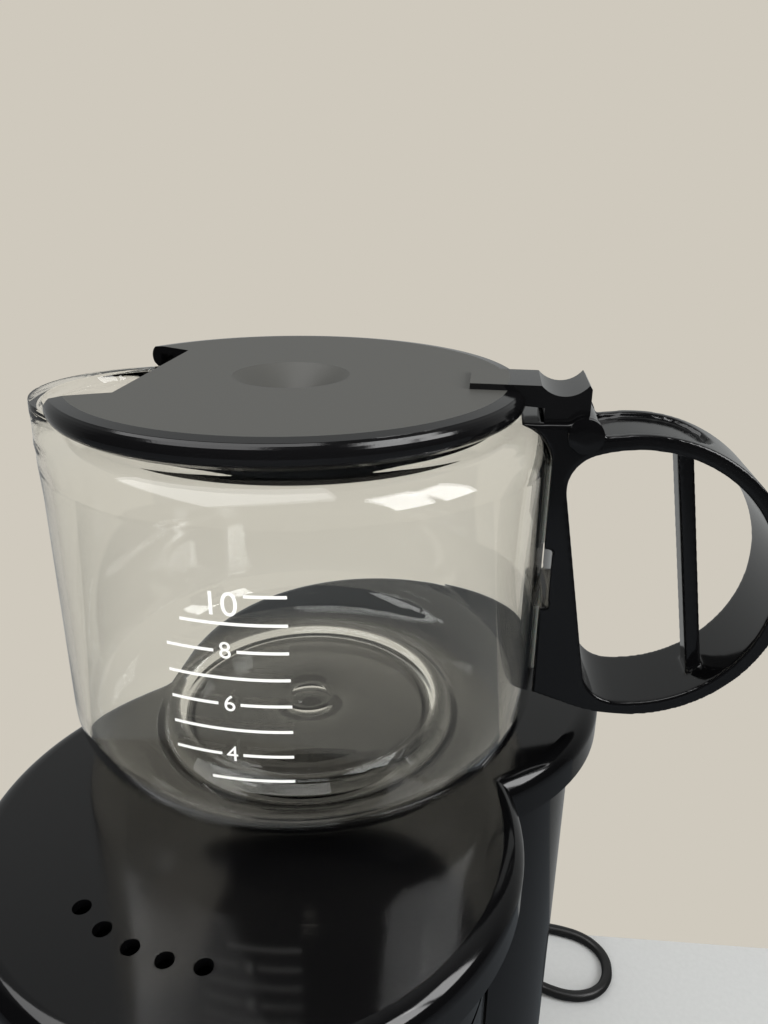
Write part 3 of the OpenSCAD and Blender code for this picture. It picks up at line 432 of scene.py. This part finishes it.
class MakeLead(Operator):
    """Lays the mains lead: down from its sleeve, round on the worktop, and into a neat coil"""
    bl_idname = "coffee.lead"
    bl_label = "Mains lead"

    def execute(self, context):
        points = list(LEAD_ROUTE)
        cx, cy = COIL_CENTRE
        plug_side = COIL_R + LEAD_D
        # one turn outside, one turn inside, then over the outer turn to the plug's sleeve
        stations = [(90, 41.6, 3.3), (120, 39.2, 3.3), (150, 38, 3.3), (360, 38, 3.3), (400, 36.5, 3.3),
                    (450, 31.4, 3.4), (780, 31.4, 3.4), (815, 32.5, 7.5), (845, 37.5, 10.4),
                    (875, 42.5, 9.0), (900, plug_side, 5.2)]
        angle = 97.0
        while angle < 899:
            for (a0, r0, z0), (a1, r1, z1) in zip(stations, stations[1:]):
                if a0 <= angle <= a1:
                    t = (angle - a0) / (a1 - a0)
                    t = t * t * (3 - 2 * t)
                    r, z = r0 + (r1 - r0) * t, z0 + (z1 - z0) * t
                    a = math.radians(angle)
                    points.append((cx + r * math.cos(a), cy + r * math.sin(a), z))
                    break
            angle += 15.0
        points.append((cx - plug_side, cy + 1.0, 4.9))
        points.append((cx - plug_side, cy - 5.0, 6.4))
        curve = bpy.data.curves.new("mains_lead", "CURVE")
        curve.dimensions = "3D"
        curve.bevel_depth = LEAD_D / 2 * MM
        curve.bevel_resolution = 5
        curve.resolution_u = 4
        curve.use_fill_caps = True
        spline = curve.splines.new("BEZIER")
        spline.bezier_points.add(len(points) - 1)
        for bp, p in zip(spline.bezier_points, points):
            bp.co = [c * MM for c in p]
            bp.handle_left_type = bp.handle_right_type = "AUTO"
        lead = bpy.data.objects.new("mains_lead", curve)
        context.collection.objects.link(lead)
        curve.materials.append(MATERIALS["pvc"])
        context.view_layer.update()
        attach(lead, "machine")
        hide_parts("power_cord", "cord_coil")
        return {"FINISHED"}


class MakeGlass(Operator):
    """Blows the jug: a straight wall, a round foot, a rolled shoulder and a wide pouring lip"""
    bl_idname = "coffee.glass"
    bl_label = "Jug glass"

    def execute(self, context):
        sizes = context.scene.jug_sizes
        big, low, high = sizes.radius, 0.020, 0.0115
        wall = 0.0022
        foot = big - low
        top = 0.1095
        shoulder_z = top - 0.0022 - high

        def arc(cx, cz, r, a0, a1, n):
            return [(cx + r * math.cos(math.radians(a0 + (a1 - a0) * i / n)),
                     cz + r * math.sin(math.radians(a0 + (a1 - a0) * i / n))) for i in range(n + 1)]
        profile = [(0.0, 0.0034), (0.006, 0.0033), (0.0072, 0.0026), (0.0085, 0.0032), (0.020, 0.0030),
                   (0.038, 0.0024), (0.0415, 0.0018), (0.0435, 0.0006), (0.046, 0.0001),
                   (0.050, 0.0001), (foot, 0.0002)]
        profile += arc(foot, low, low, -84, 0, 14)
        profile += [(big, 0.036), (big, 0.052), (big, 0.068), (big, 0.080), (big, 0.088)]
        profile += arc(big - high, shoulder_z, high, 0, 84, 10)
        profile += [(0.0630, top - 0.0016), (0.0625, top - 0.0006), (0.0618, top - 0.0001),
                    (0.0609, top - 0.0003), (0.0604, top - 0.0012), (0.0607, top - 0.0030)]
        profile += arc(big - high, shoulder_z, high - wall, 84, 0, 10)
        profile += [(big - wall, 0.088), (big - wall, 0.068), (big - wall, 0.052), (big - wall, 0.036)]
        profile += arc(foot, low, low - wall, 0, -84, 14)
        profile += [(0.052, 0.0026), (0.0495, 0.0033), (0.0475, 0.0054), (0.0455, 0.0060),
                    (0.0435, 0.0052), (0.0415, 0.0042), (0.036, 0.0051), (0.020, 0.0056), (0.0, 0.0058)]

        clear_selection()
        bpy.ops.mesh.primitive_circle_add(vertices=len(profile), radius=0.05, fill_type="NOTHING")
        obj = context.object
        for v, (x, z) in zip(obj.data.vertices, profile):
            v.co = (x, 0, z)
        # the circle's last edge would close the profile along the axis
        bpy.ops.object.mode_set(mode="EDIT")
        bpy.ops.mesh.select_all(action="DESELECT")
        bpy.ops.object.mode_set(mode="OBJECT")
        last = len(profile) - 1
        for e in obj.data.edges:
            e.select = set(e.vertices) == {0, last}
        context.tool_settings.mesh_select_mode = (False, True, False)
        bpy.ops.object.mode_set(mode="EDIT")
        bpy.ops.mesh.delete(type="EDGE")
        context.tool_settings.mesh_select_mode = (True, False, False)
        bpy.ops.mesh.select_all(action="SELECT")
        bpy.ops.mesh.spin(steps=sizes.steps, angle=2 * math.pi, center=(0, 0, 0), axis=(0, 0, 1))
        bpy.ops.mesh.select_all(action="SELECT")
        bpy.ops.mesh.remove_doubles(threshold=0.00001)
        bpy.ops.mesh.normals_make_consistent(inside=False)
        bpy.ops.object.mode_set(mode="OBJECT")
        # pull the pouring lip out of the rim, from its start up, over an angle to both sides
        lip_start, lip_height, lip_half_angle = 0.090, 0.0175, 40
        for v in obj.data.vertices:
            x, y, z = v.co
            r = math.hypot(x, y)
            if z < 0.070 or r < 0.03:
                continue
            away = abs(math.degrees(math.atan2(y, -x)))
            side = max(0.0, 1 - (away / lip_half_angle) ** 2) ** 1.6
            target = (sizes.spout if r > 0.0612 and z > 0.1 else sizes.spout - wall)
            share = min(1.0, max(0.0, (z - lip_start) / lip_height)) ** 1.3 * side
            inner = r < big - wall * 0.5 and (z < 0.1 or r < 0.0609)
            goal = target - (wall if inner else 0)
            new = r + (goal - r) * share
            v.co.x, v.co.y = x * new / r, y * new / r
        place_in_jug(obj)
        finish_piece(obj, "jug_blown_glass", "glass", "jug", angle=60)
        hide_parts("jug_glass")
        return {"FINISHED"}


class MakeMarks(Operator):
    """Prints the cup scale on the glass: a line for each cup, and a number at every second one"""
    bl_idname = "coffee.marks"
    bl_label = "Cup marks"

    def execute(self, context):
        sizes = context.scene.jug_sizes
        # each cup's line, from end to end in degrees about the jug's axis, with a gap for its number
        ends = {3: [(-96.5, -80.3)], 4: [(-103.6, -94.2), (-90.0, -80.3)], 5: [(-103.7, -80.3)],
                6: [(-103.7, -94.2), (-89.9, -80.3)], 7: [(-103.8, -80.4)],
                8: [(-103.8, -94.4), (-90.0, -80.5)], 9: [(-100.6, -80.5)], 10: [(-88.2, -80.5)]}
        radius = sizes.radius + 0.00018
        line_height = 0.0008
        for cup, spans in ends.items():
            z = sizes.mark_start + sizes.mark_pitch * (cup - 3)
            for k, (a0, a1) in enumerate(spans):
                clear_selection()
                bpy.ops.mesh.primitive_grid_add(x_subdivisions=24, y_subdivisions=1, size=1.0)
                obj = context.object
                for v in obj.data.vertices:
                    a = math.radians(a0 + (a1 - a0) * (v.co.x + 0.5))
                    v.co = (radius * math.cos(a), radius * math.sin(a), z + v.co.y * line_height)
                self.print_on(obj, f"cup_line_{cup}_{k}")
        for cup, where in ((4, -92.1), (6, -92.0), (8, -92.2), (10, -92.6)):
            z = sizes.mark_start + sizes.mark_pitch * (cup - 3) - (0.0026 if cup == 10 else 0)
            clear_selection()
            bpy.ops.object.text_add()
            text = context.object
            text.data.body = str(cup)
            text.data.size = 0.0090 if cup == 10 else 0.0064
            text.data.align_x = "CENTER"
            text.data.align_y = "CENTER"
            bpy.ops.object.convert(target="MESH")
            obj = context.object
            # upright cuts let the flat digits bend round the glass
            bpy.ops.object.mode_set(mode="EDIT")
            for cut in range(-14, 15):
                bpy.ops.mesh.select_all(action="SELECT")
                bpy.ops.mesh.bisect(plane_co=(cut * 0.0004, 0, 0), plane_no=(1, 0, 0))
            bpy.ops.object.mode_set(mode="OBJECT")
            for v in obj.data.vertices:
                a = math.radians(where) + v.co.x / radius
                v.co = (radius * math.cos(a), radius * math.sin(a), z + v.co.y)
            self.print_on(obj, f"cup_number_{cup}")
        return {"FINISHED"}

    def print_on(self, obj, name):
        place_in_jug(obj)
        apply_modifier(obj, "SOLIDIFY", thickness=0.00008, offset=0.0)
        fix_normals(obj)
        finish_piece(obj, name, "ink", "jug")


class MakeHandle(Operator):
    """Rounds the edges of the jug's handle and adds the domed heads of its hinge pin"""
    bl_idname = "coffee.handle"
    bl_label = "Jug handle"

    def execute(self, context):
        obj = rounded_copy("jug_handle", 0.6, 7)
        finish_piece(obj, "jug_handle_moulding", "gloss", "jug", angle=60)
        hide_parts("jug_handle")
        pin_x, pin_z = 0.083, 0.105
        head_r, head_depth, head_y = 0.005, 0.0012, 0.01455
        for side in (-1, 1):
            clear_selection()
            bpy.ops.mesh.primitive_cylinder_add(vertices=64, radius=head_r, depth=head_depth)
            cap = context.object
            bpy.ops.object.mode_set(mode="EDIT")
            bpy.ops.mesh.select_all(action="DESELECT")
            bpy.ops.object.mode_set(mode="OBJECT")
            for f in cap.data.polygons:
                f.select = f.normal.z > 0.9
            bpy.ops.object.mode_set(mode="EDIT")
            bpy.ops.mesh.inset(thickness=0.0008, depth=0.0003)
            bpy.ops.mesh.inset(thickness=0.0018, depth=0.0002)
            bpy.ops.object.mode_set(mode="OBJECT")
            turn = Matrix.Rotation(math.radians(90 if side < 0 else -90), 4, "X")
            shift = Matrix.Translation((pin_x, side * head_y, pin_z))
            for v in cap.data.vertices:
                v.co = shift @ turn @ v.co
            place_in_jug(cap)
            fix_normals(cap)
            finish_piece(cap, f"hinge_pin_head_{'front' if side < 0 else 'rear'}", "gloss", "jug")
        return {"FINISHED"}


class FinishFrame(Operator):
    """Gives every moulded, cast and turned part its finish"""
    bl_idname = "coffee.frame"
    bl_label = "Machine parts"

    def execute(self, context):
        for finish, nodes in FINISH.items():
            for node in nodes:
                obj = NODES[node]
                obj.data.materials.clear()
                obj.data.materials.append(MATERIALS[finish])
                select_only(obj)
                bpy.ops.object.shade_smooth_by_angle(angle=math.radians(30))
        clear_selection()
        return {"FINISHED"}


class MakeStage(Operator):
    """Lays the worktop, lights the room and hangs the window, ceiling and fill lamps"""
    bl_idname = "coffee.stage"
    bl_label = "Stage"

    def execute(self, context):
        look = context.scene.coffee_look
        clear_selection()
        bpy.ops.mesh.primitive_grid_add(x_subdivisions=8, y_subdivisions=8, size=1.0)
        floor = context.object
        floor.name = "worktop"
        # the worktop ends just behind the lead, where the wall's colour takes over
        edge = Vector((102.3 - 45.0, 288.2 - 265.5)).normalized()
        out = Vector((-edge.y, edge.x))
        start = Vector((0.045, 0.2675)) + out * 0.012
        for v in floor.data.vertices:
            p = start + edge * (v.co.x * 3.0) + out * ((v.co.y - 0.5) * 2.4)
            v.co = (p.x, p.y, -0.0001)
        mat, shader = new_material("laminate_pale_matt", IOR=1.5)
        place = add(mat, "ShaderNodeTexCoord").outputs["Object"]
        speck = add(mat, "ShaderNodeTexNoise", {"Vector": place, "Scale": 1000 / 3, "Detail": 4.0})
        tone = add(mat, "ShaderNodeMapRange", {"Value": speck.outputs["Fac"], "To Min": 0.93, "To Max": 1.05})
        base = add(mat, "ShaderNodeVectorMath", {0: colour(look.floor_code)[:3]}, operation="SCALE")
        mat.node_tree.links.new(tone.outputs["Result"], base.inputs["Scale"])
        mat.node_tree.links.new(base.outputs["Vector"], shader.inputs["Base Color"])
        shader.inputs["Roughness"].default_value = 0.45
        # polished parts mirror a dimmer worktop, because the real room is dim around the machine
        dim = add(mat, "ShaderNodeBsdfDiffuse", {"Color": colour(look.mirrored_floor_code)})
        pick = add(mat, "ShaderNodeMixShader", {
            "Fac": add(mat, "ShaderNodeLightPath").outputs["Is Glossy Ray"]})
        mat.node_tree.links.new(shader.outputs["BSDF"], pick.inputs[1])
        mat.node_tree.links.new(dim.outputs["BSDF"], pick.inputs[2])
        surface = mat.node_tree.nodes["Material Output"].inputs["Surface"]
        mat.node_tree.links.new(pick.outputs["Shader"], surface)
        floor.data.materials.append(mat)

        world = bpy.data.worlds.new("room")
        context.scene.world = world
        world.use_nodes = True
        tree = world.node_tree
        back = tree.nodes["Background"]
        back.inputs["Color"].default_value = colour("#d9d6cf")
        back.inputs["Strength"].default_value = 0.5

        # polished parts mirror the pale wall behind the machine and the dim room in front of it
        heading = math.radians(HEADING)
        facing_wall = add(world, "ShaderNodeVectorMath", {
            0: add(world, "ShaderNodeTexCoord").outputs["Generated"],
            1: (math.cos(heading), math.sin(heading), 0.15)}, operation="DOT_PRODUCT")
        level = add(world, "ShaderNodeMapRange", {"Value": facing_wall.outputs["Value"], "From Min": 0.0,
                    "From Max": 0.85, "To Min": 0.015, "To Max": 0.62})
        mirrored = add(world, "ShaderNodeBackground", {"Color": colour("#d3d5d4"),
                       "Strength": level.outputs["Result"]})
        seen = add(world, "ShaderNodeBackground", {"Color": colour(look.wall_code)})
        path = add(world, "ShaderNodeLightPath")
        most = add(world, "ShaderNodeMath", {0: path.outputs["Is Camera Ray"],
                   1: path.outputs["Is Transmission Ray"]}, operation="MAXIMUM")
        glossy = add(world, "ShaderNodeMixShader", {0: path.outputs["Is Glossy Ray"],
                     1: back.outputs[0], 2: mirrored.outputs[0]})
        mix = add(world, "ShaderNodeMixShader", {0: most.outputs[0], 1: glossy.outputs[0],
                  2: seen.outputs[0]})
        tree.links.new(mix.outputs[0], tree.nodes["World Output"].inputs["Surface"])

        # the fill lamp only lifts the matt surfaces, so the polished ones keep their dark mirror
        for name, spot, aim, wide, high, watts, mirrored_too in (
                ("window_left_pane", (0.75, -0.10, 0.95), (0, 0.05, 0.35), 0.3, 0.6, 3.4, True),
                ("window_right_pane", (0.85, 0.22, 0.95), (0, 0.05, 0.35), 0.3, 0.6, 3.4, True),
                ("ceiling_glow", (-0.3, -0.3, 1.5), (0, 0, 0.3), 1.2, 1.2, 11, True),
                ("front_fill", (0.25, -0.95, 0.45), (0, 0, 0.36), 0.9, 0.6, 7, False)):
            data = bpy.data.lights.new(name, "AREA")
            data.shape = "RECTANGLE"
            data.size, data.size_y = wide, high
            data.energy = watts
            lamp = bpy.data.objects.new(name, data)
            context.collection.objects.link(lamp)
            lamp.location = spot
            lamp.visible_glossy = mirrored_too
            lamp.visible_transmission = mirrored_too
            lamp.rotation_euler = (Vector(aim) - Vector(spot)).to_track_quat("-Z", "Y").to_euler()
        context.scene.view_settings.view_transform = "Standard"
        return {"FINISHED"}


class CoffeePanel(Panel):
    bl_label = "Coffee maker"
    bl_idname = "VIEW3D_PT_coffee_maker"
    bl_space_type = "VIEW_3D"
    bl_region_type = "UI"
    bl_category = "Coffee maker"

    def draw(self, context):
        for group in (context.scene.coffee_look, context.scene.jug_sizes):
            for key in group.__annotations__:
                self.layout.prop(group, key)
        for op in OPERATORS:
            self.layout.operator(op.bl_idname)


OPERATORS = (MakeCamera, MakeLead, FinishFrame, MakeGlass, MakeMarks, MakeHandle, MakeStage)
CLASSES = (CoffeeLook, JugSizes, *OPERATORS, CoffeePanel)


def register():
    for cls in CLASSES:
        bpy.utils.register_class(cls)
    bpy.types.Scene.coffee_look = PointerProperty(type=CoffeeLook)
    bpy.types.Scene.jug_sizes = PointerProperty(type=JugSizes)


def unregister():
    del bpy.types.Scene.jug_sizes
    del bpy.types.Scene.coffee_look
    for cls in reversed(CLASSES):
        bpy.utils.unregister_class(cls)


def main():
    register()
    MATERIALS.update(make_materials(bpy.context.scene.coffee_look))
    bpy.ops.coffee.camera()
    bpy.ops.coffee.lead()
    bpy.ops.coffee.frame()
    bpy.ops.coffee.glass()
    bpy.ops.coffee.marks()
    bpy.ops.coffee.handle()
    bpy.ops.coffee.stage()


if __name__ == "__main__":
    main()
